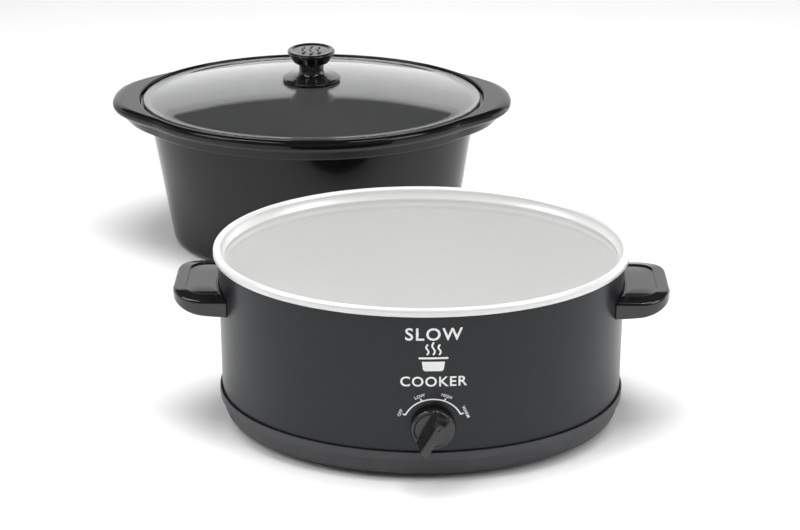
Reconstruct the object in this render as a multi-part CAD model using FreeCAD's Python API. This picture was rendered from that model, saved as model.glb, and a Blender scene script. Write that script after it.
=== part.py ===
import FreeCAD, Part
import math
import os

# Oval electric slow cooker: heated base, stoneware crock and glass lid.
# Millimetres, +Z up, origin on the table under the middle of the base, front of the base towards -Y.
# The crock, with its lid on, stands on the same table behind the base and to its left.

V = FreeCAD.Vector

# ---- driving dimensions -------------------------------------------------------------------------
AXIS_DIFF = 44.0            # every oval's half length minus its half width
RIM_HALF = 181.4            # half length over the rolled rim of the base
RIM_TOP = 162.0             # height of the rolled rim's crest
ROLL_R = 3.2                # outer radius of the rolled rim
SHEET = 1.0                 # well sheet thickness
SHELL_HALF = 177.4          # half length of the painted wrap
SHELL_SHEET = 0.8
LIP_HALF = 179.6            # half length of the moulded ring's lip
LIP_TOP = 29.4
LIP_HEIGHT = 7.6
RING_FLOOR = 3.4            # underside of the moulded ring
FLANGE_T = 2.0              # thickness of the ring's inner flange
FLANGE_HALF = 145.0         # half length of the ring's opening
WELL_FLOOR = 20.0           # top of the well's floor
WELL_HALF_TOP = 171.0       # half length inside the well, just below its beads
WELL_HALF_FLOOR = 155.0     # the same, just above the floor's corner
WELL_Z_TOP = 143.0
WELL_Z_FLOOR = 33.0

CROCK_X = -116.0            # where the crock stands
CROCK_Y = 398.0
CROCK_TOP = 161.0
CROCK_SEAT = 139.5          # underside of the crock's rim, which sits on the rolled rim
CROCK_BODY_HALF = 170.5     # half length of the crock's body, just under its rim
CROCK_FOOT_HALF = 151.5
CROCK_RIM_HALF = 185.5      # half length over its rim, lugs apart
CROCK_LUG = 21.5            # how far each lug stands out past the rim
CROCK_LEDGE = 156.0         # ledge that carries the lid

LID_HALF = 177.3            # half length of the glass
GLASS_T = 4.0
LID_GAP = 0.3               # running gap between lid and ledge
CROWN = 178.6               # top of the glass at its centre
DOME_EDGE = 0.955           # share of the lid's half length where the dome starts
KNOB_HOLE_R = 3.6

DIAL_X = 10.4               # the switch and the print sit a little right of the middle
DIAL_Z = 53.6
DIAL_R = 19.0
SHAFT_R = 3.0
RUN_GAP = 0.05              # radial running clearance of the switch shaft
BUSHING_R = 5.0

HANDLE_REACH = 216.0        # tip of each handle
HANDLE_HALF_W = 45.0
HANDLE_TOP = 129.2          # crown of each handle
HANDLE_CROWN = 3.4          # how far the top falls from the crown to its front and back edges
HANDLE_T = 19.8
HANDLE_SCREW_Y = 24.0
HANDLE_SCREW_Z = 116.8
SCREW_R = 1.9

FOOT_X = 112.0
FOOT_Y = 76.0
FOOT_R = 9.5
INLET_Z = 46.0              # centre of the cord gland on the back
INLET_R = 3.6

DIAL_ANGLE = 28.0           # how the dial stands, clockwise from straight up, in degrees
HIGH_ANGLE = 22.0           # the mark for HIGH, and LOW as far to the left
SCALE_ANGLE = 66.0          # the printed scale ends at OFF and WARM, this far either side of straight up
SCALE_R = 25.1
DIAL_GAP = 1.6              # from the shell to the back of the dial
DIAL_SKIRT = 6.5            # thickness of the dial's round skirt
BAR_W = 7.2                 # width of the grip bar's top
BAR_FOOT_W = 14.0           # its width where it meets the skirt
BAR_L = 32.0
BAR_TOP = 24.5              # its height over the back of the dial
SHAFT_END = 16.0            # how far the shaft reaches into the dial, from its back
KEY_START = 7.6             # where the flat in the dial's bore begins
HUB_R = 4.6                 # hub inside the dial's hollow back
HUB_START = 2.9
HUB_END = 4.6

HEATER_Z = 72.0             # lower edge of the heater band
HEATER_H = 32.0
HEATER_T = 2.6
HEATER_OPEN = 15.0          # half the opening between the band's two ends
GLAND_R = 6.5
GLAND_OUT = 10.0            # how far the gland stands out of the shell
INLET_START = 1.0           # outside the shell, where the gland's bore narrows to hold the cord
LEAD_R = 1.3
COVER_T = 0.8
FUSE_Z = 60.0
CONNECTOR_Z = 34.0

# ---- places that follow from them ---------------------------------------------------------------
FLANGE_TOP = RING_FLOOR + FLANGE_T
SHELL_LOW = LIP_TOP - 6.2                   # the shell stands in a groove in the ring's lip
SHELL_FRONT = AXIS_DIFF - SHELL_HALF        # y of the shell's front
SWITCH_FACE = SHELL_FRONT + SHELL_SHEET + 1.6
DIAL_BACK = SHELL_FRONT - DIAL_GAP
UNDER_WELL = FLANGE_TOP + COVER_T + 2.6     # height of the leads that run under the well


# ---- helpers ------------------------------------------------------------------------------------
def oval(half, z):
    """Closed elliptical wire round the Z axis."""
    ellipse = Part.Ellipse(V(0, 0, z), half, half - AXIS_DIFF)
    return Part.Wire([ellipse.toShape()])


def cup(profile):
    """Solid through ovals (half length, z), closed flat across the first and the last one."""
    return Part.makeLoft([oval(half, z) for half, z in profile], True, True)


def band(profile):
    """Ring-shaped solid whose section runs through the ovals (half length, z) and closes."""
    return Part.makeLoft([oval(half, z) for half, z in profile], True, True, True)


def plate(half, z_low, z_high):
    """Flat elliptical plate."""
    return Part.Face(oval(half, z_low)).extrude(V(0, 0, z_high - z_low))


def quartered_plate(half, z_low, z_high):
    """The same plate with its edge in four faces, so that holes near a face's middle stay clean."""
    ellipse = Part.Ellipse(V(0, 0, z_low), half, half - AXIS_DIFF)
    quarters = [ellipse.toShape(math.radians(start), math.radians(start + 90)) for start in (45, 135, 225, 315)]
    return Part.Face(Part.Wire(quarters)).extrude(V(0, 0, z_high - z_low))


def arc_points(centre, radius, start, stop, steps):
    """Points (half length, z) on an arc, angles in degrees from the outward direction."""
    angles = [math.radians(start + (stop - start) * i / steps) for i in range(steps + 1)]
    return [(centre[0] + radius * math.cos(t), centre[1] + radius * math.sin(t)) for t in angles]


def rod(radius, length, base, direction):
    return Part.makeCylinder(radius, length, V(*base), V(*direction))


def revolved(profile, centre=(0, 0, 0)):
    """Solid of revolution about Z through (radius, z) points, given in order round the section."""
    points = [V(r, 0, z) for r, z in profile]
    face = Part.Face(Part.makePolygon(points + points[:1]))
    solid = face.revolve(V(0, 0, 0), V(0, 0, 1), 360)
    solid.translate(V(*centre))
    return solid


def facing_front(shape, x, y, z):
    """Turns a solid made along +Z so that its +Z points to the front (-Y), and places it."""
    turned = shape.copy()
    turned.rotate(V(0, 0, 0), V(1, 0, 0), 90)
    turned.translate(V(x, y, z))
    return turned


def hexagon(across_flats, height, base, direction, bore):
    radius = across_flats / math.sqrt(3)
    corners = [V(radius * math.cos(math.radians(60 * i)), radius * math.sin(math.radians(60 * i)), 0)
               for i in range(7)]
    nut = Part.Face(Part.makePolygon(corners)).extrude(V(0, 0, height))
    nut = nut.cut(Part.makeCylinder(bore, height))
    nut.Placement = FreeCAD.Placement(V(*base), FreeCAD.Rotation(V(0, 0, 1), V(*direction)))
    return nut


def slot_cutter(length, width, depth, x, y, z, angle):
    """Round-ended slot cutter, long side along X before it is turned."""
    half = length / 2 - width / 2
    box = Part.makeBox(2 * half, width, depth, V(-half, -width / 2, 0))
    ends = [Part.makeCylinder(width / 2, depth, V(side * half, 0, 0)) for side in (-1, 1)]
    cutter = box.fuse(ends)
    cutter.rotate(V(0, 0, 0), V(0, 0, 1), angle)
    cutter.translate(V(x, y, z))
    return cutter


def insulated_lead(points, bend, radius):
    """Round wire along straight runs joined by tangent arcs."""
    corners = [V(*p) for p in points]
    edges = []
    start = corners[0]
    for before, corner, after in zip(corners, corners[1:], corners[2:]):
        back = (before - corner).normalize()
        on = (after - corner).normalize()
        half_turn = (math.pi - back.getAngle(on)) / 2
        trim = bend * math.tan(half_turn)
        enter = corner + back * trim
        leave = corner + on * trim
        centre_line = (back + on).normalize()
        centre = corner + centre_line * (bend / math.cos(half_turn))
        middle = centre - centre_line * bend
        edges.append(Part.LineSegment(start, enter).toShape())
        edges.append(Part.Arc(enter, middle, leave).toShape())
        start = leave
    edges.append(Part.LineSegment(start, corners[-1]).toShape())
    path = Part.Wire(edges)
    circle = Part.Circle(corners[0], corners[1] - corners[0], radius)
    section = Part.Wire([circle.toShape()])
    return path.makePipeShell([section], True, False)


def semi_width(half, x):
    """Half width of an oval at a given x."""
    return (half - AXIS_DIFF) * math.sqrt(1 - (x / half) ** 2)


def well_half(z):
    """Half length inside the well's tapered wall."""
    share = (z - WELL_Z_FLOOR) / (WELL_Z_TOP - WELL_Z_FLOOR)
    return WELL_HALF_FLOOR + share * (WELL_HALF_TOP - WELL_HALF_FLOOR)


# ---- heated base --------------------------------------------------------------------------------
def outer_shell():
    """Painted steel wrap, pierced for the switch, the handle screws and the cord gland."""
    high = RIM_TOP - ROLL_R - 0.5
    shell = quartered_plate(SHELL_HALF, SHELL_LOW, high)
    shell = shell.cut(quartered_plate(SHELL_HALF - SHELL_SHEET, SHELL_LOW - 1, high + 1))
    cutters = [rod(BUSHING_R + 0.2, 20, (DIAL_X, SHELL_FRONT + 10, DIAL_Z), (0, -1, 0)),
               rod(GLAND_R + 0.2, 20, (0, -SHELL_FRONT - 10, INLET_Z), (0, 1, 0))]
    for side in (-1, 1):
        for y in (-HANDLE_SCREW_Y, HANDLE_SCREW_Y):
            start = (side * (SHELL_HALF - 15), y, HANDLE_SCREW_Z)
            cutters.append(rod(SCREW_R + 0.1, 30, start, (side, 0, 0)))
    return shell.cut(cutters)


def inner_liner():
    """Pressed well: flat floor, tapered wall, two beads, and a rim rolled out over the shell."""
    roll = (RIM_HALF - ROLL_R, RIM_TOP - ROLL_R)
    tail = RIM_TOP - ROLL_R - 3.5
    floor_out = WELL_FLOOR - SHEET
    outside = [(WELL_HALF_FLOOR - 16, floor_out), (WELL_HALF_FLOOR - 7, floor_out + 2.6),
               (WELL_HALF_FLOOR - 1, floor_out + 8), (WELL_HALF_FLOOR + SHEET, WELL_Z_FLOOR),
               (WELL_HALF_TOP + SHEET, WELL_Z_TOP), (WELL_HALF_TOP + SHEET + 0.4, WELL_Z_TOP + 3),
               (WELL_HALF_TOP + SHEET + 1.4, WELL_Z_TOP + 6), (WELL_HALF_TOP + SHEET + 1.0, WELL_Z_TOP + 9),
               (WELL_HALF_TOP + SHEET + 2.4, WELL_Z_TOP + 11.5)]
    outside += arc_points(roll, ROLL_R - SHEET, 180, 0, 6)
    outside.append((RIM_HALF - SHEET, tail))
    inside = [(RIM_HALF, tail)]
    inside += arc_points(roll, ROLL_R, 0, 180, 8)
    inside += [(WELL_HALF_TOP + 2.4, WELL_Z_TOP + 12.2), (WELL_HALF_TOP + 1.6, WELL_Z_TOP + 10.8),
               (WELL_HALF_TOP + 0.5, WELL_Z_TOP + 9), (WELL_HALF_TOP + 1.2, WELL_Z_TOP + 6),
               (WELL_HALF_TOP, WELL_Z_TOP + 3), (WELL_HALF_TOP, WELL_Z_TOP),
               (WELL_HALF_FLOOR, WELL_Z_FLOOR), (WELL_HALF_FLOOR - 2, WELL_FLOOR + 7),
               (WELL_HALF_FLOOR - 7.6, WELL_FLOOR + 2.4), (WELL_HALF_FLOOR - 16, WELL_FLOOR)]
    return cup(outside + inside)


def base_ring():
    """Moulded ring under the shell, with a proud lip, a bowl below it and an inner flange."""
    groove = SHELL_HALF + 0.3
    seat = SHELL_LOW - 0.1
    under_lip = LIP_TOP - LIP_HEIGHT
    profile = [(LIP_HALF, LIP_TOP - 0.9), (LIP_HALF - 0.9, LIP_TOP), (groove, LIP_TOP), (groove, seat),
               (SHELL_HALF - 4, seat), (SHELL_HALF - 4, RING_FLOOR + 12), (SHELL_HALF - 6.5, RING_FLOOR + 5),
               (SHELL_HALF - 9, FLANGE_TOP), (FLANGE_HALF, FLANGE_TOP), (FLANGE_HALF, RING_FLOOR),
               (LIP_HALF - 12, RING_FLOOR), (LIP_HALF - 8.5, RING_FLOOR + 0.8),
               (LIP_HALF - 5.5, RING_FLOOR + 3.6), (LIP_HALF - 3.4, RING_FLOOR + 9),
               (LIP_HALF - 2.4, under_lip - 1), (LIP_HALF - 0.8, under_lip), (LIP_HALF, under_lip + 0.8)]
    ring = band(profile)
    cutters = [rod(3.5, 10, (x, y, 0), (0, 0, 1)) for x, y in foot_places()]
    cutters += [rod(1.7, 10, (x, y, 0), (0, 0, 1)) for x, y in cover_screw_places()]
    return ring.cut(cutters)


def foot_places():
    return [(-FOOT_X, -FOOT_Y), (FOOT_X, -FOOT_Y), (-FOOT_X, FOOT_Y), (FOOT_X, FOOT_Y)]


def cover_screw_places():
    along = FLANGE_HALF + 4
    across = along - AXIS_DIFF
    return [(-along, 0), (along, 0), (0, -across), (0, across)]


def bottom_cover():
    """Steel plate that closes the underside, with two rows of vents."""
    cover = plate(FLANGE_HALF + 8, FLANGE_TOP, FLANGE_TOP + COVER_T)
    cutters = [rod(2.8, 10, (0, 0, 0), (0, 0, 1))]
    cutters += [rod(1.7, 10, (x, y, 0), (0, 0, 1)) for x, y in cover_screw_places()]
    for y in (-48, 48):
        for i in range(-3, 4):
            cutters.append(slot_cutter(22, 4, 10, i * 14, y, 0, 90))
    return cover.cut(cutters)


def cover_screws():
    """Four screws that hold the cover to the ring, heads underneath."""
    screws = []
    for x, y in cover_screw_places():
        shank = rod(1.6, 4.4, (x, y, RING_FLOOR - 0.6), (0, 0, 1))
        head = rod(3.2, 1.2, (x, y, RING_FLOOR - 1.2), (0, 0, 1))
        screws.append(shank.fuse(head).removeSplitter())
    return Part.makeCompound(screws)


def foot(x, y):
    """Rubber foot with a stem pushed into the ring's flange."""
    pad = revolved([(0, 0), (FOOT_R - 1, 0), (FOOT_R, 1), (FOOT_R, RING_FLOOR), (3.45, RING_FLOOR),
                    (3.45, FLANGE_TOP - 0.1), (0, FLANGE_TOP - 0.1)])
    pad.translate(V(x, y, 0))
    return pad


def liner_stud():
    """Stud welded under the well, which draws cover, ring and shell up against the rolled rim."""
    return rod(2.5, WELL_FLOOR - SHEET - 1.6, (0, 0, 1.6), (0, 0, 1))


def stud_washer():
    low = FLANGE_TOP - 0.8
    return rod(8, 0.8, (0, 0, low), (0, 0, 1)).cut(rod(2.6, 0.8, (0, 0, low), (0, 0, 1)))


def stud_nut():
    return hexagon(8, 2.6, (0, 0, FLANGE_TOP - 0.8 - 2.6), (0, 0, 1), 2.55)


def wall_band(z_low, z_high, gap, thickness):
    """Strap that follows the well's outside at a gap."""
    low = well_half(z_low) + SHEET + gap
    high = well_half(z_high) + SHEET + gap
    return band([(low, z_low), (high, z_high), (high + thickness, z_high), (low + thickness, z_low)])


def heater_band():
    """Mica-wrapped resistance band round the well, open at the back where its spring pulls it tight."""
    opening = Part.makeBox(2 * HEATER_OPEN, 40, 60, V(-HEATER_OPEN, 100, HEATER_Z - 10))
    return wall_band(HEATER_Z, HEATER_Z + HEATER_H, 0.1, HEATER_T).cut(opening)


def heat_shield():
    """Aluminised reflector between the heater and the shell."""
    half = SHELL_HALF - SHELL_SHEET - 2.4
    z_low = HEATER_Z - 1
    z_high = HEATER_Z + HEATER_H + 2
    return band([(half, z_low), (half, z_high), (half - 0.6, z_high), (half - 0.6, z_low)])


def heater_spring():
    """Coil spring that draws the two ends of the heater band together."""
    coil_r = 1.8
    wire_r = 0.45
    turns = 10
    length = 2 * (HEATER_OPEN - wire_r - 0.2)
    pitch = length / turns
    middle = HEATER_Z + HEATER_H / 2
    y = semi_width(well_half(middle + coil_r) + SHEET, 0) + coil_r + wire_r + 0.3
    helix = Part.makeHelix(pitch, pitch * turns, coil_r)
    circle = Part.Circle(V(coil_r, 0, 0), V(0, 1, 0), wire_r)
    section = Part.Wire([circle.toShape()])
    spring = Part.Wire(helix).makePipeShell([section], True, True)
    spring.rotate(V(0, 0, 0), V(0, 1, 0), 90)
    spring.translate(V(-length / 2, y, middle))
    return spring


def handle(side):
    """Moulded grip with a rounded tip, a curved underside and a shallow thumb panel on top."""
    root = SHELL_HALF - 26
    corner = 27.0
    tip = HANDLE_REACH
    w = HANDLE_HALF_W
    cut = corner * (1 - math.sqrt(0.5))
    outline = [Part.LineSegment(V(root, -w, 0), V(tip - corner, -w, 0)).toShape(),
               Part.Arc(V(tip - corner, -w, 0), V(tip - cut, cut - w, 0), V(tip, corner - w, 0)).toShape(),
               Part.LineSegment(V(tip, corner - w, 0), V(tip, w - corner, 0)).toShape(),
               Part.Arc(V(tip, w - corner, 0), V(tip - cut, w - cut, 0), V(tip - corner, w, 0)).toShape(),
               Part.LineSegment(V(tip - corner, w, 0), V(root, w, 0)).toShape(),
               Part.LineSegment(V(root, w, 0), V(root, -w, 0)).toShape()]
    low = HANDLE_TOP - HANDLE_T
    block = Part.Face(Part.Wire(outline)).extrude(V(0, 0, HANDLE_T))
    block.translate(V(0, 0, low))
    rise = 9.0
    under = [Part.Arc(V(root, -60, low), V(tip - 22, -60, low + 1.6), V(tip + 2, -60, low + rise)).toShape(),
             Part.LineSegment(V(tip + 2, -60, low + rise), V(tip + 2, -60, low - 5)).toShape(),
             Part.LineSegment(V(tip + 2, -60, low - 5), V(root, -60, low - 5)).toShape(),
             Part.LineSegment(V(root, -60, low - 5), V(root, -60, low)).toShape()]
    flat = w - 12.5
    fall = HANDLE_TOP - HANDLE_CROWN
    crowned = Part.makePolygon([V(root, -w - 1, low - 1), V(root, w + 1, low - 1), V(root, w + 1, fall - 0.3),
                                V(root, flat, HANDLE_TOP), V(root, -flat, HANDLE_TOP),
                                V(root, -w - 1, fall - 0.3), V(root, -w - 1, low - 1)])
    grip = block.cut(Part.Face(Part.Wire(under)).extrude(V(0, 120, 0)))
    grip = grip.common(Part.Face(crowned).extrude(V(tip - root + 1, 0, 0)))
    outer_edges = [e for e in grip.Edges
                   if (e.BoundBox.XMin > root + 1 or e.BoundBox.XLength > 20) and not on_ridge(e, flat)]
    grip = grip.makeFillet(2.5, outer_edges)
    grip = grip.cut(thumb_panel())
    grip = grip.cut(plate(SHELL_HALF + 0.1, 80, 140))
    for y in (-HANDLE_SCREW_Y, HANDLE_SCREW_Y):
        start = (SHELL_HALF - 20, y, HANDLE_SCREW_Z)
        grip = grip.cut(rod(SCREW_R + 0.05, 32, start, (1, 0, 0)))
    if side < 0:
        grip = grip.mirror(V(0, 0, 0), V(1, 0, 0))
    return grip


def on_ridge(edge, flat):
    """True for the two edges where a handle's flat crown meets its falling sides."""
    box = edge.BoundBox
    return box.ZMin > HANDLE_TOP - 0.05 and abs(abs(box.Center.y) - flat) < 0.05


def thumb_panel():
    """Cutter for the panel in the top of a handle, rounded like the handle's tip."""
    near = SHELL_HALF - 20
    far = HANDLE_REACH - 8
    w = HANDLE_HALF_W - 12.5
    radius = 16.0
    box = Part.makeBox(far - near, 2 * w, 4, V(near, -w, HANDLE_TOP - 1.4))
    tip_edges = [e for e in box.Edges if e.BoundBox.ZLength > 3.9 and e.BoundBox.XMin > far - 0.1]
    return box.makeFillet(radius, tip_edges).cut(plate(SHELL_HALF + 2.2, 80, 140))


def handle_screws():
    """Four pan-head screws from inside the shell into the handles."""
    screws = []
    for side in (-1, 1):
        for y in (-HANDLE_SCREW_Y, HANDLE_SCREW_Y):
            half_inside = SHELL_HALF - SHELL_SHEET
            wall_x = half_inside * math.sqrt(1 - ((abs(y) + 3.4) / (half_inside - AXIS_DIFF)) ** 2)
            head = rod(3.4, 1.6, (side * (wall_x - 2.0), y, HANDLE_SCREW_Z), (side, 0, 0))
            shank = rod(SCREW_R, 16, (side * (wall_x - 0.6), y, HANDLE_SCREW_Z), (side, 0, 0))
            screws.append(head.fuse(shank).removeSplitter())
    return Part.makeCompound(screws)


# ---- switch and dial ----------------------------------------------------------------------------

def rotary_switch():
    """Four-position switch body with the threaded bushing that carries it in the shell."""
    width = 28.0
    depth = 11.0
    body = Part.makeBox(width, depth, width, V(DIAL_X - width / 2, SWITCH_FACE, DIAL_Z - width / 2))
    body = body.makeChamfer(2, [e for e in body.Edges if e.BoundBox.YLength > depth - 1])
    bushing_end = DIAL_BACK - 2.4
    bushing = rod(BUSHING_R, SWITCH_FACE - bushing_end, (DIAL_X, SWITCH_FACE, DIAL_Z), (0, -1, 0))
    bore = rod(SHAFT_R + RUN_GAP, 20, (DIAL_X, SWITCH_FACE + 8, DIAL_Z), (0, -1, 0))
    return body.fuse(bushing).removeSplitter().cut(bore)


def switch_terminals():
    """Four push-on tabs under the switch."""
    tabs = []
    for i in (-3, -1, 1, 3):
        tabs.append(Part.makeBox(3, 0.8, 8, V(DIAL_X + i * 3.2 - 1.5, SWITCH_FACE + 6, DIAL_Z - 22)))
    return Part.makeCompound(tabs)


def switch_nut():
    """Flat nut that clamps the bushing, hidden behind the dial."""
    return hexagon(14, 2, (DIAL_X, SHELL_FRONT - 0.1, DIAL_Z), (0, -1, 0), BUSHING_R + 0.05)


def dial_scale():
    """Printed scale on the shell: an arc with four ticks round the dial."""
    ring = rod(SCALE_R + 0.6, 40, (DIAL_X, SHELL_FRONT + 20, DIAL_Z), (0, -1, 0))
    ring = ring.cut(rod(SCALE_R - 0.6, 40, (DIAL_X, SHELL_FRONT + 20, DIAL_Z), (0, -1, 0)))
    wedge_half = math.radians(SCALE_ANGLE)
    reach = 60.0
    corners = [V(DIAL_X, SHELL_FRONT + 20, DIAL_Z)]
    for angle in (-wedge_half, -wedge_half / 2, wedge_half / 2, wedge_half):
        x = DIAL_X + reach * math.sin(angle)
        corners.append(V(x, SHELL_FRONT + 20, DIAL_Z + reach * math.cos(angle)))
    wedge = Part.Face(Part.makePolygon(corners + corners[:1])).extrude(V(0, -40, 0))
    marks = [ring.common(wedge)]
    for angle in (-SCALE_ANGLE, -HIGH_ANGLE, HIGH_ANGLE, SCALE_ANGLE):
        tick = Part.makeBox(1.2, 40, 2.6, V(DIAL_X - 0.6, SHELL_FRONT - 20, DIAL_Z + SCALE_R))
        tick.rotate(V(DIAL_X, 0, DIAL_Z), V(0, 1, 0), angle)
        marks.append(tick)
    print_area = marks[0].fuse(marks[1:])
    skin = plate(SHELL_HALF + 0.12, 20, 120).cut(plate(SHELL_HALF + 0.02, 20, 120))
    return skin.common(print_area).removeSplitter()


def switch_shaft():
    """Shaft with a flat on its outer end."""
    inner = SWITCH_FACE + 7.5
    outer = DIAL_BACK - SHAFT_END
    shaft = rod(SHAFT_R, inner - outer, (DIAL_X, inner, DIAL_Z), (0, -1, 0))
    flat = Part.makeBox(8, 12, 3, V(DIAL_X - 4, outer - 1, DIAL_Z + SHAFT_R - 1.2))
    shaft = shaft.cut(flat)
    shaft.rotate(V(DIAL_X, 0, DIAL_Z), V(0, 1, 0), DIAL_ANGLE)
    return shaft


def control_knob():
    """Round dial with a raised grip bar and a pointer groove; its back is hollow over the nut."""
    skirt = Part.makeCone(DIAL_R, DIAL_R - 1.2, DIAL_SKIRT)
    skirt = skirt.makeFillet(1.2, [e for e in skirt.Edges if abs(e.BoundBox.ZMin - DIAL_SKIRT) < 0.01])
    half = BAR_L / 2
    foot = DIAL_SKIRT - 1.2
    corners = [V(-BAR_FOOT_W / 2, -half, foot), V(-BAR_W / 2, -half, BAR_TOP), V(BAR_W / 2, -half, BAR_TOP),
               V(BAR_FOOT_W / 2, -half, foot), V(-BAR_FOOT_W / 2, -half, foot)]
    bar = Part.Face(Part.makePolygon(corners)).extrude(V(0, BAR_L, 0))
    bar = bar.makeFillet(1.2, [e for e in bar.Edges if e.BoundBox.ZMax > BAR_TOP - 0.1])
    knob = skirt.fuse(bar).removeSplitter()
    knob = knob.cut(Part.makeCylinder(DIAL_R - 3, HUB_END))
    hub = Part.makeCylinder(HUB_R, HUB_END - HUB_START + 0.2, V(0, 0, HUB_START))
    knob = knob.fuse(hub).removeSplitter()
    bore = Part.makeCylinder(SHAFT_R + RUN_GAP, SHAFT_END + 0.3)
    key = Part.makeBox(8, 3, SHAFT_END, V(-4, SHAFT_R - 1.2 + RUN_GAP, KEY_START))
    groove = Part.makeBox(1.2, 14, 2, V(-0.6, half - 12, BAR_TOP - 0.8))
    knob = knob.cut([bore.cut(key), groove])
    knob = facing_front(knob, DIAL_X, DIAL_BACK, DIAL_Z)
    knob.rotate(V(DIAL_X, 0, DIAL_Z), V(0, 1, 0), DIAL_ANGLE)
    return knob


def knob_clip():
    """Spring clip round the hub that grips the shaft."""
    start = (DIAL_X, DIAL_BACK - HUB_START - 0.2, DIAL_Z)
    return rod(HUB_R + 0.8, 1.4, start, (0, -1, 0)).cut(rod(HUB_R + 0.05, 1.4, start, (0, -1, 0)))


# ---- inside the base ----------------------------------------------------------------------------
def cord_gland():
    """Bushing at the back where the supply cord would come out."""
    y_out = SHELL_HALF - AXIS_DIFF
    inner_end = y_out - 5
    flange = rod(9.5, 2.5, (0, y_out + 0.1, INLET_Z), (0, 1, 0))
    neck = rod(GLAND_R, 5 + GLAND_OUT, (0, inner_end, INLET_Z), (0, 1, 0))
    collar = rod(8, 2, (0, inner_end, INLET_Z), (0, 1, 0))
    body = flange.fuse([neck, collar]).removeSplitter()
    wide = rod(INLET_R + 1, 5 + INLET_START, (0, inner_end, INLET_Z), (0, 1, 0))
    narrow = rod(INLET_R, GLAND_OUT, (0, y_out, INLET_Z), (0, 1, 0))
    return body.cut([wide, narrow])


def wire_connectors():
    """Two closed-end crimp caps beside the gland."""
    y = semi_width(SHELL_HALF, 34) - 9
    return Part.makeCompound([rod(4, 18, (side * 24, y, CONNECTOR_Z), (side, 0, 0)) for side in (-1, 1)])


def lead_across(tab_index, back_x, back_z):
    """Lead from a switch tab, down and back under the well, then up behind it."""
    x = DIAL_X + tab_index * 3.2
    y_front = SWITCH_FACE + 6.4
    y_back = semi_width(SHELL_HALF - SHELL_SHEET, back_x) - 9
    points = [(x, y_front, DIAL_Z - 22.2), (x, y_front, UNDER_WELL), (x, y_front + 40, UNDER_WELL),
              (back_x, y_back - 40, UNDER_WELL), (back_x, y_back, UNDER_WELL), (back_x, y_back, back_z)]
    return insulated_lead(points, 7.0, LEAD_R)


def supply_lead():
    """Lead from the incoming live connector to the switch."""
    return lead_across(-3, -52, CONNECTOR_Z)


def heater_leads():
    """Leads from the switch to the two windings of the heater."""
    return Part.makeCompound([lead_across(1, 50, HEATER_Z - 2), lead_across(3, 60, HEATER_Z - 2)])


def fuse_y():
    """The fuse lies just clear of the well's back."""
    return semi_width(well_half(FUSE_Z + 3) + SHEET, 23) + 3.0


def thermal_fuse():
    """One-shot fuse lying against the well's back."""
    return rod(2, 14, (-37, fuse_y(), FUSE_Z), (1, 0, 0))


def fuse_clip():
    """Strap that presses the fuse to the well."""
    start = (-33, fuse_y(), FUSE_Z)
    return rod(2.8, 6, start, (1, 0, 0)).cut(rod(2.1, 6, start, (1, 0, 0)))


# ---- crock --------------------------------------------------------------------------------------
def lug_share(t):
    """0 on the long sides of the rim, rising smoothly to 1 at its two ends."""
    s = min(1.0, max(0.0, (abs(math.cos(t)) - 0.82) / 0.17))
    return s * s * (3 - 2 * s)


def crock_ring(half, z, lug):
    """Closed wire: an oval whose two ends stand out by lug."""
    points = []
    count = 72
    for i in range(count):
        t = 2 * math.pi * i / count
        reach = half + lug * lug_share(t)
        points.append(V(reach * math.cos(t), (half - AXIS_DIFF) * math.sin(t), z))
    curve = Part.BSplineCurve()
    curve.interpolate(points, PeriodicFlag=True)
    return Part.Wire([curve.toShape()])


def crock():
    """Stoneware bowl: tapered body, thick rim with a lug at each end, and a ledge for the lid."""
    rim = CROCK_RIM_HALF
    lug = CROCK_LUG
    outside = [(CROCK_FOOT_HALF - 9, 0, 0), (CROCK_FOOT_HALF - 5, 1, 0), (CROCK_FOOT_HALF - 1.6, 4.2, 0),
               (CROCK_FOOT_HALF, 9, 0), (CROCK_BODY_HALF, CROCK_SEAT - 1, 0),
               (CROCK_BODY_HALF + 1, CROCK_SEAT, 0), (rim - 3.6, CROCK_SEAT, 0.42 * lug),
               (rim - 2.4, CROCK_SEAT + 1.2, 0.5 * lug), (rim - 0.2, CROCK_SEAT + 10, 0.78 * lug),
               (rim + 1.8, CROCK_SEAT + 12, 0.95 * lug), (rim + 2.5, CROCK_SEAT + 15, lug),
               (rim + 2.2, CROCK_SEAT + 18, lug), (rim + 0.9, CROCK_TOP - 1.1, 0.94 * lug),
               (rim - 1.6, CROCK_TOP, 0.8 * lug)]
    inside = [(rim - 3.4, CROCK_TOP, 0), (rim - 4.6, CROCK_TOP - 0.8, 0), (rim - 5.2, CROCK_LEDGE - 0.2, 0),
              (CROCK_BODY_HALF + 0.5, CROCK_LEDGE, 0), (CROCK_BODY_HALF - 2, CROCK_LEDGE - 1.2, 0),
              (CROCK_BODY_HALF - 3.5, CROCK_LEDGE - 4, 0), (CROCK_BODY_HALF - 6, CROCK_SEAT - 4, 0),
              (CROCK_FOOT_HALF - 7.5, 24, 0), (CROCK_FOOT_HALF - 11, 15, 0), (CROCK_FOOT_HALF - 20, 10, 0)]
    rings = [crock_ring(half, z, reach) for half, z, reach in outside + inside]
    bowl = Part.makeLoft(rings, True, True)
    bowl.translate(V(CROCK_X, CROCK_Y, 0))
    return bowl


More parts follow.
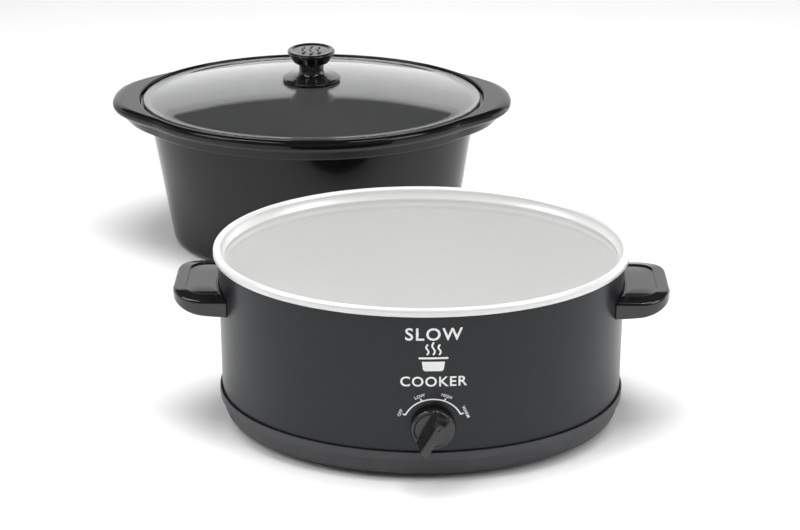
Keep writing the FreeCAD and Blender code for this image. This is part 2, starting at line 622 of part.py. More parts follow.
# ---- lid ----------------------------------------------------------------------------------------
def lid_glass():
    """Domed glass with a flat, rounded edge and a hole for the knob's screw."""
    low = CROCK_LEDGE + LID_GAP
    edge = [(1.0, low, 0.8), (1.0, low + 1.2, 0.0), (1.0, low + GLASS_T - 1.2, 0.0),
            (1.0, low + GLASS_T, 0.9)]
    top = []
    bottom = []
    for s in (DOME_EDGE, 0.925, 0.88, 0.78, 0.66, 0.52, 0.36, 0.18, 0.0):
        rise = (CROWN - low - GLASS_T) * (1 - (s / DOME_EDGE) ** 2)
        top.append((s, low + GLASS_T + rise, 0.0))
        bottom.append((s, low + rise, 0.0))
    bottom.reverse()
    rings = []
    for s, z, inset in edge + top + bottom:
        a = KNOB_HOLE_R + s * (LID_HALF - KNOB_HOLE_R) - inset
        b = KNOB_HOLE_R + s * (LID_HALF - AXIS_DIFF - KNOB_HOLE_R) - inset
        if a - b < 0.001:
            rings.append(Part.Wire([Part.Circle(V(0, 0, z), V(0, 0, 1), a).toShape()]))
        else:
            rings.append(Part.Wire([Part.Ellipse(V(0, 0, z), a, b).toShape()]))
    glass = Part.makeLoft(rings, True, True, True)
    glass.translate(V(CROCK_X, CROCK_Y, 0))
    return glass


def lid_gasket():
    """Soft ring between glass and knob."""
    profile = [(KNOB_HOLE_R, CROWN + 0.1), (22, CROWN - 0.3), (22, CROWN + 1.3), (KNOB_HOLE_R, CROWN + 1.3)]
    return revolved(profile, (CROCK_X, CROCK_Y, 0))


def lid_knob():
    """Turned knob: convex flange, waist and a flat cap with a sunk face."""
    low = CROWN + 1.3
    profile = [(0, low + 16), (2.6, low + 16), (2.6, low), (22.2, low), (29.6, low - 0.5), (30.5, low + 0.3),
               (30.2, low + 1.3), (28, low + 2.1), (20, low + 3.6), (15, low + 4.8), (13.4, low + 6.4),
               (12.9, low + 8.6), (12.9, low + 16.4), (13.8, low + 17.3), (17.2, low + 17.6), (18.8, low + 18.6),
               (24.4, low + 27.6), (24.9, low + 29.4), (24.2, low + 30.5), (22.0, low + 31.0),
               (16, low + 30.3), (0, low + 29.9)]
    return revolved(profile, (CROCK_X, CROCK_Y, 0))


def lid_washer():
    """Steel washer under the glass."""
    top = CROWN - GLASS_T - 0.1
    return revolved([(2.7, top - 1.2), (9, top - 1.2), (9, top - 0.4), (2.7, top)], (CROCK_X, CROCK_Y, 0))


def lid_screw():
    """Pan-head screw up through the glass into the knob."""
    head_top = CROWN - GLASS_T - 1.4
    return revolved([(0, head_top - 2.6), (3.6, head_top - 2.6), (4.6, head_top - 1.6), (4.6, head_top),
                     (2.5, head_top), (2.5, head_top + 21), (0, head_top + 21)], (CROCK_X, CROCK_Y, 0))


def build():
    nodes = {
        "outer_shell": outer_shell(), "inner_liner": inner_liner(), "base_ring": base_ring(),
        "bottom_cover": bottom_cover(), "cover_screws": cover_screws(),
        "liner_stud": liner_stud(), "stud_washer": stud_washer(), "stud_nut": stud_nut(),
        "heater_band": heater_band(), "heat_shield": heat_shield(), "heater_spring": heater_spring(),
        "handle_left": handle(-1), "handle_right": handle(1), "handle_screws": handle_screws(),
        "rotary_switch": rotary_switch(), "switch_terminals": switch_terminals(),
        "switch_nut": switch_nut(), "switch_shaft": switch_shaft(), "dial_scale": dial_scale(),
        "control_knob": control_knob(), "knob_clip": knob_clip(),
        "cord_gland": cord_gland(), "wire_connectors": wire_connectors(),
        "supply_lead": supply_lead(), "heater_leads": heater_leads(),
        "thermal_fuse": thermal_fuse(), "fuse_clip": fuse_clip(),
        "crock": crock(), "lid_glass": lid_glass(), "lid_gasket": lid_gasket(),
        "lid_knob": lid_knob(), "lid_washer": lid_washer(), "lid_screw": lid_screw(),
    }
    names = ("foot_front_left", "foot_front_right", "foot_back_left", "foot_back_right")
    for name, (x, y) in zip(names, foot_places()):
        nodes[name] = foot(x, y)
    return nodes


os.makedirs("parts", exist_ok=True)
for node, shape in build().items():
    shape.exportStep("parts/" + node + ".step")
    print(node, shape.ShapeType, "valid" if shape.isValid() else "INVALID", round(shape.Volume))
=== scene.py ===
import math
import bpy
import bmesh
from mathutils import Matrix, Vector


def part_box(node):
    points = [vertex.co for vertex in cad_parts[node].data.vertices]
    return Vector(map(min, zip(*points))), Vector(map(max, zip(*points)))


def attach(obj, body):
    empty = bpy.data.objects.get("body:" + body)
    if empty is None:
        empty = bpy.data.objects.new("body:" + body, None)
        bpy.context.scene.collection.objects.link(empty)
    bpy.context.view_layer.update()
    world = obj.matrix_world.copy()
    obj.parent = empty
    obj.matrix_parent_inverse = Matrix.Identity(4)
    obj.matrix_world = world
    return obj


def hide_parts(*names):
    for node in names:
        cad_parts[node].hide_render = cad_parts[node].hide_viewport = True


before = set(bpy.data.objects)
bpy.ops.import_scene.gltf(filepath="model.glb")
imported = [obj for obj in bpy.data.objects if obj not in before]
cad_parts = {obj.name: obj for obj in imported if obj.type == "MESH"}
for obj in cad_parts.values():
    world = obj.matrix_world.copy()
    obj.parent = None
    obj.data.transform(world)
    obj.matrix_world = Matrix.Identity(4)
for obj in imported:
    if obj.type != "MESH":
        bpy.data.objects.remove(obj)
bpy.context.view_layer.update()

# Oval slow cooker on a white studio floor. Piece shapes are worked out in millimetres in the row frame
# and written in metres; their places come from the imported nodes' boxes.

MM = 0.001
AROUND = 256                # points round an oval or a turned piece
FINE_AROUND = 96            # points round a small turned piece
WELD = 1e-7                 # metres within which two points are one
LUG_START, LUG_SPREAD = 0.82, 0.17      # |cos| where an oval's end starts to stand out, and over what


def node_box(node):
    low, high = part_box(node)
    return low / MM, high / MM


shell_low, shell_high = node_box("outer_shell")
liner_low, liner_high = node_box("inner_liner")
ring_low, ring_high = node_box("base_ring")
crock_low, crock_high = node_box("crock")
glass_low, glass_high = node_box("lid_glass")
knob_low, knob_high = node_box("lid_knob")
dial_low, dial_high = node_box("control_knob")
handle_high = node_box("handle_right")[1]
gland_low, gland_high = node_box("cord_gland")

AXIS_DIFF = shell_high.x - shell_high.y     # every oval's half length minus its half width
SHELL_HALF = shell_high.x
RIM_HALF = liner_high.x
RIM_TOP = liner_high.z
LIP_HALF = ring_high.x
LIP_TOP = ring_high.z
CROCK_CENTRE = (crock_low + crock_high) / 2
LID_HALF = (glass_high.x - glass_low.x) / 2
DIAL_CENTRE = (dial_low + dial_high) / 2


# ---- mesh helpers -------------------------------------------------------------------------------
LONG_RUN = 5                # a run longer than this many reaches is held flat
HOLD = 1.9                  # reaches from each end of such a run to the points that hold it
STRAIGHT = math.radians(179.5)          # corners flatter than this are left alone


def soften(points, reach, closed=False, rounds=3):
    """Rounds a section's corners: each is cut at up to reach from it, then again at half of that.
    Long straight runs get a point near each end, so that they stay flat under smooth shading."""
    held = []
    count = len(points)
    for i, point in enumerate(points):
        held.append(Vector(point))
        if not closed and i == count - 1:
            break
        after = Vector(points[(i + 1) % count])
        run = after - held[-1]
        if run.length > LONG_RUN * reach:
            held.append(held[-1] + run * (HOLD * reach / run.length))
            held.append(after - run * (HOLD * reach / run.length))
    for _ in range(rounds):
        cut = []
        count = len(held)
        for i, point in enumerate(held):
            if not closed and i in (0, count - 1):
                cut.append(point)
                continue
            before = held[i - 1] - point
            after = held[(i + 1) % count] - point
            if before.angle(after, 0.0) > STRAIGHT:
                cut.append(point)
                continue
            for step in (before, after):
                cut.append(point + step * min(0.25, reach / max(step.length, 1e-6)))
        held = cut
        reach *= 0.5
    return held


def add_piece(name, points, faces, body, slot, nodes=()):
    """Makes a smooth mesh object from points in millimetres, and hangs it on its body."""
    mesh = bpy.data.meshes.new(name)
    mesh.from_pydata([Vector(p) * MM for p in points], [], faces)
    mesh.validate()
    work = bmesh.new()
    work.from_mesh(mesh)
    bmesh.ops.remove_doubles(work, verts=work.verts, dist=WELD)
    bmesh.ops.recalc_face_normals(work, faces=work.faces)
    work.to_mesh(mesh)
    work.free()
    mesh.polygons.foreach_set("use_smooth", [True] * len(mesh.polygons))
    piece = bpy.data.objects.new(name, mesh)
    bpy.context.scene.collection.objects.link(piece)
    return register(piece, body, slot, nodes)


def register(piece, body, slot, nodes=()):
    piece.data.materials.clear()
    piece.data.materials.append(FINISHES[slot])
    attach(piece, body)
    if nodes:
        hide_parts(*nodes)
    return piece


def skin(loops, closed=False):
    """Points and faces through loops of equal count. The last loop joins the first when closed;
    otherwise the two end loops are filled from their middles."""
    count = len(loops[0])
    points = [tuple(p) for loop in loops for p in loop]
    faces = []
    pairs = list(zip(range(len(loops) - 1), range(1, len(loops))))
    if closed:
        pairs.append((len(loops) - 1, 0))
    for a, b in pairs:
        for i in range(count):
            j = (i + 1) % count
            faces.append((a * count + i, a * count + j, b * count + j, b * count + i))
    if not closed:
        for start in (0, (len(loops) - 1) * count):
            ring = points[start:start + count]
            middle = sum((Vector(p) for p in ring), Vector()) / count
            points.append(tuple(middle))
            hub = len(points) - 1
            faces += [(start + i, start + (i + 1) % count, hub) for i in range(count)]
    return points, faces


def oval_loop(half, z, reach, centre):
    """Ellipse of the object's family; its two ends stand out by reach."""
    loop = []
    for i in range(AROUND):
        t = 2 * math.pi * i / AROUND
        x = (half + reach * end_share(t)) * math.cos(t)
        loop.append((centre[0] + x, centre[1] + (half - AXIS_DIFF) * math.sin(t), z))
    return loop


def end_share(t):
    """0 on an oval's long sides, rising smoothly to 1 at its two ends."""
    s = min(1.0, max(0.0, (abs(math.cos(t)) - LUG_START) / LUG_SPREAD))
    return s * s * (3 - 2 * s)


def turned_loops(profile, centre, count=AROUND):
    """Loops about Z through (radius, z) points."""
    return [[(centre[0] + r * math.cos(2 * math.pi * i / count),
              centre[1] + r * math.sin(2 * math.pi * i / count), z) for i in range(count)]
            for r, z in profile]


def facing_front(loops, x, y, z):
    """Turns loops made along +Z so that their +Z points to the front (-Y), and places them."""
    return [[(x + p[0], y - p[2], z + p[1]) for p in loop] for loop in loops]


def front_y(x):
    """y of the shell's front at x, in millimetres."""
    return -(SHELL_HALF - AXIS_DIFF) * math.sqrt(1 - (x / SHELL_HALF) ** 2)


# ---- materials ----------------------------------------------------------------------------------
class Finish:
    """A procedural material: a principled shader with node-made colour, roughness and bump."""

    def __init__(self, name):
        self.material = bpy.data.materials.new(name)
        self.material.use_nodes = True
        self.tree = self.material.node_tree
        self.shader = self.tree.nodes["Principled BSDF"]
        self.place = self.tree.nodes.new("ShaderNodeTexCoord").outputs["Object"]
        self.normal = None

    def link(self, a, b):
        self.tree.links.new(a, b)

    def node(self, kind):
        return self.tree.nodes.new(kind)

    def noise(self, scale, detail=3.0, roughness=0.5, stretch=None):
        made = self.node("ShaderNodeTexNoise")
        made.inputs["Scale"].default_value = scale
        made.inputs["Detail"].default_value = detail
        made.inputs["Roughness"].default_value = roughness
        place = self.place
        if stretch:
            mapping = self.node("ShaderNodeMapping")
            mapping.inputs["Scale"].default_value = stretch
            self.link(place, mapping.inputs["Vector"])
            place = mapping.outputs["Vector"]
        self.link(place, made.inputs["Vector"])
        return made.outputs["Fac"]

    def spots(self, scale):
        made = self.node("ShaderNodeTexVoronoi")
        made.inputs["Scale"].default_value = scale
        self.link(self.place, made.inputs["Vector"])
        return made.outputs["Distance"]

    def spread(self, source, low, high, start=0.3, stop=0.7):
        made = self.node("ShaderNodeMapRange")
        made.inputs["From Min"].default_value = start
        made.inputs["From Max"].default_value = stop
        made.inputs["To Min"].default_value = low
        made.inputs["To Max"].default_value = high
        self.link(source, made.inputs["Value"])
        return made.outputs["Result"]

    def colour(self, source, dark, light, start=0.3, stop=0.7):
        ramp = self.node("ShaderNodeValToRGB")
        ramp.color_ramp.elements[0].position = start
        ramp.color_ramp.elements[1].position = stop
        ramp.color_ramp.elements[0].color = (*dark, 1)
        ramp.color_ramp.elements[1].color = (*light, 1)
        self.link(source, ramp.inputs["Fac"])
        self.link(ramp.outputs["Color"], self.shader.inputs["Base Color"])

    def rough(self, source, low, high):
        self.link(self.spread(source, low, high), self.shader.inputs["Roughness"])

    def bump(self, source, distance, strength):
        """distance is in metres."""
        made = self.node("ShaderNodeBump")
        made.inputs["Strength"].default_value = strength
        made.inputs["Distance"].default_value = distance
        self.link(source, made.inputs["Height"])
        if self.normal is not None:
            self.link(self.normal, made.inputs["Normal"])
        self.normal = made.outputs["Normal"]
        self.link(self.normal, self.shader.inputs["Normal"])

    def set(self, **values):
        for key, value in values.items():
            self.shader.inputs[key.replace("_", " ")].default_value = value


def shade(colour, share):
    return tuple(min(1.0, c * share) for c in colour)


def satin_paint():
    """Dark blue-grey paint on steel: fine orange peel, and softer and glossier patches."""
    f = Finish("satin_charcoal_paint")
    f.colour(f.noise(900, 2), (0.009, 0.0095, 0.011), (0.013, 0.0135, 0.015), 0.35, 0.65)
    f.rough(f.noise(9, 4), 0.27, 0.32)
    f.bump(f.noise(700, 3), 0.00003, 0.35)
    f.bump(f.noise(60, 2), 0.0002, 0.05)
    f.set(Specular_IOR_Level=0.31, Specular_Tint=(0.90, 0.94, 1.0, 1.0))
    f.set(Coat_Weight=0.03, Coat_Roughness=0.20)
    return f.material


def well_paint():
    """Matt silver-grey coating with a fine sand grain, partly metallic."""
    f = Finish("silver_well_coating")
    f.colour(f.noise(1500, 3, 0.6), (0.70, 0.70, 0.695), (0.75, 0.75, 0.745), 0.36, 0.64)
    f.rough(f.noise(14, 3), 0.30, 0.38)
    f.bump(f.noise(1600, 3, 0.6), 0.00003, 0.35)
    f.bump(f.noise(35, 2), 0.0003, 0.04)
    f.set(Metallic=0.25)
    return f.material


def black_plastic(name, colour, low, high, grain=0.00002, coat=0.0):
    f = Finish(name)
    f.colour(f.noise(40, 4), shade(colour, 0.85), shade(colour, 1.15))
    f.rough(f.noise(22, 4, 0.6), low, high)
    f.bump(f.noise(1400, 2), grain, 0.4)
    f.bump(f.noise(45, 2), 0.0002, 0.03)
    f.set(Specular_IOR_Level=0.5, Coat_Weight=coat, Coat_Roughness=0.03)
    return f.material


def glazed_stoneware():
    """Black fired glaze: deep and glossy, with pinholes and a slow waviness."""
    f = Finish("black_glaze")
    f.colour(f.noise(25, 4), (0.0035, 0.0034, 0.0034), (0.0060, 0.0058, 0.0056))
    f.rough(f.noise(16, 5, 0.6), 0.05, 0.10)
    f.bump(f.noise(28, 2), 0.0006, 0.05)
    f.bump(f.spread(f.spots(420), 0.0, 1.0, 0.0, 0.12), 0.00003, 0.25)
    f.set(Specular_IOR_Level=0.30, Coat_Weight=0.05, Coat_Roughness=0.04)
    return f.material


def clear_glass():
    """Tempered clear glass with the faint ripple of pressing and a trace of wiping."""
    f = Finish("clear_lid_glass")
    f.colour(f.noise(12, 2), (0.93, 0.955, 0.945), (0.97, 0.985, 0.98))
    f.rough(f.noise(8, 5, 0.65), 0.0, 0.012)
    f.bump(f.noise(10, 2), 0.0010, 0.02)
    f.set(Transmission_Weight=0.965, IOR=1.5)
    return f.material


METAL_GRAIN = 300


def bare_metal(name, colour, low, high, stretch=None):
    f = Finish(name)
    f.colour(f.noise(60, 4), shade(colour, 0.8), colour)
    f.rough(f.noise(METAL_GRAIN, 4, 0.6, stretch), low, high)
    f.bump(f.noise(METAL_GRAIN, 3, 0.6, stretch), 0.00005, 0.3)
    f.set(Metallic=1.0)
    return f.material


def soft_matt(name, colour, low, high, scale=700, depth=0.00006):
    f = Finish(name)
    f.colour(f.noise(scale, 3), shade(colour, 0.8), shade(colour, 1.2))
    f.rough(f.noise(50, 3), low, high)
    f.bump(f.noise(scale, 3), depth, 0.5)
    return f.material


FINISHES = {
    "shell_paint": satin_paint(),
    "well_coat": well_paint(),
    "crock_glaze": glazed_stoneware(),
    "lid_glass": clear_glass(),
    "ring_plastic": black_plastic("charcoal_ring", (0.030, 0.031, 0.034), 0.36, 0.44, grain=0.00004),
    "handle_plastic": black_plastic("gloss_black_handle", (0.0075, 0.0075, 0.008), 0.10, 0.16,
                                    coat=0.2),
    "dial_plastic": black_plastic("gloss_black_dial", (0.0085, 0.0085, 0.009), 0.16, 0.24, coat=0.2),
    "knob_plastic": black_plastic("gloss_black_knob", (0.0065, 0.0065, 0.007), 0.07, 0.12, coat=0.3),
    "switch_body": soft_matt("switch_moulding", (0.05, 0.05, 0.055), 0.45, 0.55),
    "gland_plastic": soft_matt("gland_moulding", (0.014, 0.014, 0.015), 0.42, 0.55),
    "cap_plastic": soft_matt("crimp_cap", (0.60, 0.60, 0.57), 0.35, 0.5),
    "lead_sleeve": soft_matt("woven_lead_sleeve", (0.62, 0.61, 0.58), 0.6, 0.75, 1600),
    "foot_rubber": soft_matt("foot_rubber", (0.018, 0.018, 0.018), 0.65, 0.8, 900),
    "gasket_silicone": soft_matt("clear_silicone", (0.30, 0.30, 0.30), 0.35, 0.5),
    "heater_mica": soft_matt("mica_wrap", (0.35, 0.29, 0.20), 0.4, 0.6, 160, 0.0002),
    "print_white": soft_matt("white_print", (0.88, 0.88, 0.88), 0.45, 0.6, 1800, 0.00001),
    "cover_steel": bare_metal("zinc_plated_cover", (0.62, 0.63, 0.64), 0.30, 0.42),
    "fastener_steel": bare_metal("fastener_steel", (0.66, 0.66, 0.65), 0.25, 0.4),
    "shield_foil": bare_metal("aluminised_shield", (0.80, 0.80, 0.81), 0.18, 0.32, (1, 1, 12)),
    "spring_steel": bare_metal("spring_steel", (0.55, 0.55, 0.55), 0.2, 0.35),
    "brass": bare_metal("brass", (0.72, 0.55, 0.26), 0.22, 0.38),
    "fuse_metal": bare_metal("fuse_case", (0.70, 0.70, 0.70), 0.2, 0.35),
}

NODE_FINISH = {
    "bottom_cover": "cover_steel", "cover_screws": "fastener_steel", "liner_stud": "fastener_steel",
    "stud_washer": "fastener_steel", "stud_nut": "fastener_steel", "heater_band": "heater_mica",
    "heat_shield": "shield_foil", "heater_spring": "spring_steel", "handle_screws": "fastener_steel",
    "rotary_switch": "switch_body", "switch_terminals": "brass", "switch_nut": "brass",
    "switch_shaft": "brass", "dial_scale": "print_white", "knob_clip": "spring_steel",
    "cord_gland": "gland_plastic", "wire_connectors": "cap_plastic", "supply_lead": "lead_sleeve",
    "heater_leads": "lead_sleeve", "thermal_fuse": "fuse_metal", "fuse_clip": "spring_steel",
    "lid_gasket": "gasket_silicone", "lid_washer": "fastener_steel", "lid_screw": "fastener_steel",
    "foot_front_left": "foot_rubber", "foot_front_right": "foot_rubber",
    "foot_back_left": "foot_rubber", "foot_back_right": "foot_rubber",
}
for node_name, finish in NODE_FINISH.items():
    for material_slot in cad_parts[node_name].material_slots:
        material_slot.material = FINISHES[finish]


# ---- heated base --------------------------------------------------------------------------------
def oval_piece(name, section, body, slot, nodes, closed=False, centre=(0, 0)):
    """Solid of oval loops: each section point is (half length, z) or (half length, z, end reach)."""
    loops = [oval_loop(p[0], p[1], p[2] if len(p) > 2 else 0.0, centre) for p in section]
    return add_piece(name, *skin(loops, closed), body, slot, nodes)


SHELL_SHEET = 0.8
ROLL_R = 3.2                # outer radius of the well's rolled rim
LINER_SHEET = 1.0
LIP_HEIGHT = 7.6


def make_shell():
    inner = SHELL_HALF - SHELL_SHEET
    section = [(SHELL_HALF, shell_low.z), (SHELL_HALF, shell_high.z),
               (inner, shell_high.z), (inner, shell_low.z)]
    oval_piece("shell_wrap", soften(section, 0.2, True, 1), "base", "shell_paint", ["outer_shell"], True)


def arc(centre, radius, start, stop, steps):
    return [(centre[0] + radius * math.cos(math.radians(start + (stop - start) * i / steps)),
             centre[1] + radius * math.sin(math.radians(start + (stop - start) * i / steps)))
            for i in range(steps + 1)]


def make_liner():
    """Pressed well with two beads and a rolled rim."""
    sheet = LINER_SHEET
    roll = (RIM_HALF - ROLL_R, RIM_TOP - ROLL_R)
    tail = RIM_TOP - ROLL_R - 3.5
    top = RIM_HALF - 10.4
    floor = RIM_HALF - 26.4
    wall_top = RIM_TOP - 19
    out_low = liner_low.z
    wall_low = out_low + 14
    outside = [(floor - 16, out_low), (floor - 7, out_low + 2.6), (floor - 1, out_low + 8),
               (floor + sheet, wall_low), (top + sheet, wall_top), (top + sheet + 0.4, wall_top + 3),
               (top + sheet + 1.4, wall_top + 6), (top + sheet + 1.0, wall_top + 9),
               (top + sheet + 2.4, wall_top + 11.5)]
    inside = [(top + 2.4, wall_top + 12.2), (top + 1.6, wall_top + 10.8), (top + 0.5, wall_top + 9),
              (top + 1.2, wall_top + 6), (top, wall_top + 3), (top, wall_top), (floor, wall_low),
              (floor - 2, out_low + sheet + 7), (floor - 7.6, out_low + sheet + 2.4),
              (floor - 16, out_low + sheet)]
    section = soften(outside, 1.0)
    section += [Vector(p) for p in arc(roll, ROLL_R - sheet, 180, 0, 16)]
    section += [Vector((RIM_HALF - sheet, tail + 0.2)), Vector((RIM_HALF - sheet * 0.8, tail)),
                Vector((RIM_HALF - 0.2, tail)), Vector((RIM_HALF, tail + 0.2))]
    section += [Vector(p) for p in arc(roll, ROLL_R, 0, 180, 24)]
    section += soften(inside, 0.9)
    middle = AXIS_DIFF * 0.5        # the loops close in towards this half length across the floor
    first = [Vector((section[0][0] * share + middle * (1 - share), out_low)) for share in (0.4, 0.8)]
    last = [Vector((section[-1][0] * share + middle * (1 - share), out_low + sheet))
            for share in (0.8, 0.4)]
    oval_piece("well_liner", first + section + last, "base", "well_coat", ["inner_liner"])


def make_ring():
    """Moulded ring: proud lip, bowl below it, inner flange."""
    floor = ring_low.z
    flange_top = floor + 2.0
    groove = SHELL_HALF + 0.5
    seat = shell_low.z - 0.1
    under_lip = LIP_TOP - LIP_HEIGHT
    section = [(LIP_HALF, LIP_TOP), (groove, LIP_TOP), (groove, seat), (SHELL_HALF - 4, seat),
               (SHELL_HALF - 4, floor + 12), (SHELL_HALF - 6.5, floor + 5), (SHELL_HALF - 9, flange_top),
               (LIP_HALF - 34.6, flange_top), (LIP_HALF - 34.6, floor), (LIP_HALF - 12, floor),
               (LIP_HALF - 8.5, floor + 0.8), (LIP_HALF - 5.5, floor + 3.6), (LIP_HALF - 3.4, floor + 9),
               (LIP_HALF - 2.4, under_lip - 1), (LIP_HALF - 2.2, under_lip), (LIP_HALF, under_lip)]
    oval_piece("base_bowl", soften(section, 0.5, True), "base", "ring_plastic", ["base_ring"], True)


HANDLE_CORNER = 27.0        # radius of a handle's two corners in plan
HANDLE_FALL = 3.4           # how far a handle's top falls from its crown to its front and back edges
HANDLE_FLAT = 26.0          # half width over which its top stays flat
HANDLE_T = 19.8             # thickness at its root
HANDLE_EDGE = 2.6           # radius of its edges
PANEL_IN = 11.0             # how far its thumb panel is set in
PANEL_DEPTH = 1.4
SIDE_STEPS, CORNER_STEPS, TIP_STEPS, ROOT_STEPS = 24, 20, 16, 40


def handle_outline(inset, root_gap):
    """Closed outline of a handle's plan, set in by inset; its root follows the shell at root_gap."""
    tip = handle_high.x - inset
    half = handle_high.y - inset
    corner = max(HANDLE_CORNER - inset, 4.0)
    shell = SHELL_HALF + root_gap

    def root_x(y):
        return shell * math.sqrt(1 - (y / (shell - AXIS_DIFF)) ** 2)

    outline = []
    start = root_x(half)
    for i in range(SIDE_STEPS):
        outline.append((start + (tip - corner - start) * i / SIDE_STEPS, -half))
    for i in range(CORNER_STEPS):
        t = math.radians(-90 + 90 * i / CORNER_STEPS)
        outline.append((tip - corner + corner * math.cos(t), corner - half + corner * math.sin(t)))
    for i in range(TIP_STEPS):
        outline.append((tip, (corner - half) + 2 * (half - corner) * i / TIP_STEPS))
    for i in range(CORNER_STEPS):
        t = math.radians(90 * i / CORNER_STEPS)
        outline.append((tip - corner + corner * math.cos(t), half - corner + corner * math.sin(t)))
    for i in range(SIDE_STEPS):
        outline.append((tip - corner + (start - tip + corner) * i / SIDE_STEPS, half))
    for i in range(ROOT_STEPS):
        y = half - 2 * half * i / ROOT_STEPS
        outline.append((root_x(y), y))
    return outline


def crown_z(y):
    """Height of a handle's top at y."""
    share = min(1.0, max(0.0, (abs(y) - HANDLE_FLAT) / (handle_high.y - HANDLE_FLAT)))
    return handle_high.z - HANDLE_FALL * share ** 1.6


def under_z(x):
    """Height of a handle's underside at x: it curves up towards the tip."""
    start = SHELL_HALF - 26
    share = max(0.0, (x - start) / (handle_high.x - start))
    return handle_high.z - HANDLE_T + 1.6 * share + 8.4 * share ** 4


def make_handle(name, side, node):
    """Grip with a sunk thumb panel on top and rounded edges, as loops from its top middle to its
    bottom middle."""
    edge = HANDLE_EDGE
    root = 0.15
    side_top = edge + 1.2           # drop from the top to where the flat side starts
    middle_x = (SHELL_HALF + handle_high.x) / 2
    edge_turns = [math.radians(90 * i / 8) for i in range(9)]
    loops = []

    def add(outline, height):
        loops.append([(side * x, y, height(x, y)) for x, y in outline])

    def top(drop):
        return lambda x, y: crown_z(y) - drop

    def shrunk(outline, share):
        return [(middle_x + (x - middle_x) * share, y * share) for x, y in outline]

    def side_z(share):
        return lambda x, y: (crown_z(y) - side_top) * (1 - share) + (under_z(x) + edge + 0.8) * share

    def bottom(lift):
        return lambda x, y: under_z(x) + lift

    for share in (0.12, 0.45, 0.8):
        add(shrunk(handle_outline(PANEL_IN + 1, 3.2), share), lambda x, y: handle_high.z - PANEL_DEPTH)
    panel_edge = [(1.2, PANEL_DEPTH), (0.55, PANEL_DEPTH), (0.35, PANEL_DEPTH - 0.05),
                  (0.2, PANEL_DEPTH - 0.2), (0.1, 0.25), (0.02, 0.08), (-0.2, 0.0), (-0.6, 0.0)]
    for extra, drop in panel_edge:
        add(handle_outline(PANEL_IN + extra, 2.2 + extra), top(drop))
    for inset in (8.0, 5.5, 3.4):
        add(handle_outline(inset, 1.2 + 0.1 * inset), top(0.0))
    for t in edge_turns:
        add(handle_outline(edge * (1 - math.sin(t)), root + 0.6 * (1 - math.sin(t))),
            top(edge * (1 - math.cos(t))))
    add(handle_outline(0.0, root), top(side_top))
    for share in (0.33, 0.66, 1.0):
        add(handle_outline(0.0, root), side_z(share))
    for t in edge_turns:
        add(handle_outline(edge * (1 - math.cos(t)), root), bottom(edge * (1 - math.sin(t))))
    for inset in (4.5, 9.0, 15.0):
        add(handle_outline(inset, root + 0.05 * inset), bottom(0.0))
    for share in (0.75, 0.4, 0.12):
        add(shrunk(handle_outline(15.0, root + 0.8), share), bottom(0.0))
    add_piece(name, *skin(loops), "base", "handle_plastic", [node])


# ---- dial ---------------------------------------------------------------------------------------
DIAL_ANGLE = 28.0           # degrees from upright to where the grip bar points at rest
SKIRT_T = 6.5               # thickness of the round skirt
HOLLOW = 4.7                # depth of the hollow in its back
NOTCH = (1.5, 9.0, 2.4)     # slot cut in the bar's pointer end
NOTCH_FROM_MIDDLE = 14.5


def make_dial():
    """Round skirt with a hollow back, and a tall grip bar with a notch at its pointer end."""
    x, y, z = DIAL_CENTRE.x, dial_high.y, DIAL_CENTRE.z
    r = (dial_high.x - dial_low.x) / 2
    thick = SKIRT_T
    profile = [(4.8, HOLLOW), (r - 3, HOLLOW), (r - 3, 0), (r, 0), (r - 0.6, thick - 1.6),
               (r - 1.6, thick - 0.2), (r - 2.6, thick), (r - 4.2, thick - 0.5), (10.0, thick - 0.5),
               (4.8, thick - 0.5)]
    loops = turned_loops(soften(profile, 0.5, True), (0, 0), FINE_AROUND)
    add_piece("dial_skirt", *skin(facing_front(loops, x, y, z), True), "knob", "dial_plastic",
              ["control_knob"])

    top = dial_high.y - dial_low.y
    sections = [(18.0, 32.6, thick - 1.2), (16.4, 32.4, thick - 0.4), (14.9, 32.2, thick + 0.3),
                (14.1, 32.1, thick + 1.2), (13.6, 32.0, thick + 2.4), (10.3, 32.0, top - 8),
                (7.5, 32.0, top - 1.6), (7.2, 31.9, top - 1.0), (6.8, 31.5, top - 0.45),
                (6.2, 30.9, top - 0.12), (5.4, 30.1, top), (4.4, 29.0, top)]
    bar = [rounded_rectangle(width, length, 1.1, height) for width, length, height in sections]
    points, faces = skin(bar)
    grip = add_piece("dial_grip", points, faces, "knob", "dial_plastic")
    notch = bmesh.new()
    place = Matrix.Translation(Vector((0, NOTCH_FROM_MIDDLE, top + 0.2)) * MM)
    bmesh.ops.create_cube(notch, size=1.0, matrix=place @ Matrix.Diagonal((*(Vector(NOTCH) * MM), 1)))
    cutter_mesh = bpy.data.meshes.new("notch")
    notch.to_mesh(cutter_mesh)
    notch.free()
    cutter = bpy.data.objects.new("notch", cutter_mesh)
    bpy.context.scene.collection.objects.link(cutter)
    boolean = grip.modifiers.new("notch", "BOOLEAN")
    boolean.object = cutter
    boolean.operation = "DIFFERENCE"
    boolean.solver = "EXACT"
    bake_modifiers(grip)
    bpy.data.objects.remove(cutter)
    turn = Matrix.Rotation(math.radians(DIAL_ANGLE), 4, "Y")
    grip.data.transform(Matrix.Rotation(math.radians(90), 4, "X"))
    grip.data.transform(turn)
    grip.data.transform(Matrix.Translation(Vector((x, y, z)) * MM))
    grip.data.set_sharp_from_angle(angle=math.radians(38))


def bake_modifiers(piece):
    """Gives a piece the mesh that its modifiers make, and drops them."""
    graph = bpy.context.evaluated_depsgraph_get()
    mesh = bpy.data.meshes.new_from_object(piece.evaluated_get(graph))
    piece.modifiers.clear()
    piece.data = mesh


